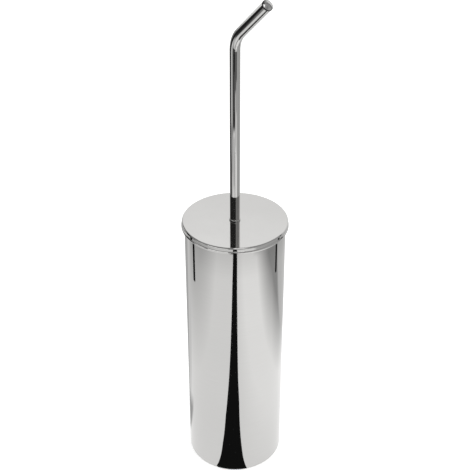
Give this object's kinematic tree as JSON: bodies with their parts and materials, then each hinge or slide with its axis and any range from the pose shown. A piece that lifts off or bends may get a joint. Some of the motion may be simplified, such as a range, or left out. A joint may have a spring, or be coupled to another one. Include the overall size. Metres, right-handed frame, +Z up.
{
  "type": "toilet brush holder",
  "caption": "Free-standing toilet brush holder: polished steel tube with a flat lid fixed to a long bent handle, and a brush and liner inside.",
  "frame": {"origin": "on the tube's axis at floor level, at the bottom centre of the whole object", "axes": "+Z up along the tube's axis; the handle's bent arm leans up towards +X and -Y, 50 degrees from +X"},
  "size_m": [0.0964, 0.0964, 0.48],
  "materials": {
    "polished_steel": "mirror-polished stainless steel",
    "plug_steel": "polished steel plug with a fine turned face",
    "plain_steel": "satin, as rolled or turned",
    "spring_steel": "satin, blued spring steel",
    "nut_brass": "satin",
    "ring_rubber": "matte",
    "liner_plastic": "matte moulded polypropylene",
    "insert_plastic": "matte moulded polypropylene",
    "bush_nylon": "satin natural nylon",
    "core_plastic": "gloss moulded polypropylene",
    "bristle_nylon": "satin nylon filament"
  },
  "bodies": {
    "holder": {"outer_tube": "polished_steel", "base_plate": "plain_steel", "floor_ring": "ring_rubber"},
    "liner": {"liner": "liner_plastic"},
    "lid": {"lid_cap": "polished_steel", "lid_insert": "insert_plastic", "lid_bush": "bush_nylon"},
    "handle": {"handle_tube": "polished_steel", "handle_end_plug": "plug_steel", "lid_collar": "polished_steel", "lid_washer": "bush_nylon", "push_on_clip": "spring_steel", "thread_stud": "plain_steel"},
    "head_seal": {"head_washer": "ring_rubber"},
    "brush_head": {"head_core": "core_plastic", "head_nut": "nut_brass", "bristle_row_1": "bristle_nylon", "bristle_row_2": "bristle_nylon", "bristle_row_3": "bristle_nylon", "bristle_row_4": "bristle_nylon", "bristle_row_5": "bristle_nylon", "bristle_row_6": "bristle_nylon", "bristle_row_7": "bristle_nylon", "bristle_row_8": "bristle_nylon", "bristle_tip": "bristle_nylon"}
  },
  "joints": [
    {"name": "liner_lift", "type": "slide", "parent": "holder", "child": "liner", "axis": [0, 0, 1], "range_m": [0, 0.265]},
    {"name": "brush_lift", "type": "slide", "parent": "liner", "child": "lid", "axis": [0, 0, 1], "range_m": [0, 0.25]},
    {"name": "handle_turn", "type": "hinge", "parent": "lid", "child": "handle", "pos_m": [0, 0, 0.266], "axis": [0, 0, 1], "continuous": true},
    {"name": "head_travel", "type": "slide", "parent": "handle", "child": "head_seal", "axis": [0, 0, -1], "range_m": [0, 0.0125]},
    {"name": "head_unscrew", "type": "hinge", "parent": "head_seal", "child": "brush_head", "pos_m": [0, 0, 0.09], "axis": [0, 0, -1], "range_deg": [0, 4320]}
  ],
  "couplings": [
    {"joint": "head_travel", "follows": "head_unscrew", "m_per_rad": 0.00015915}
  ]
}
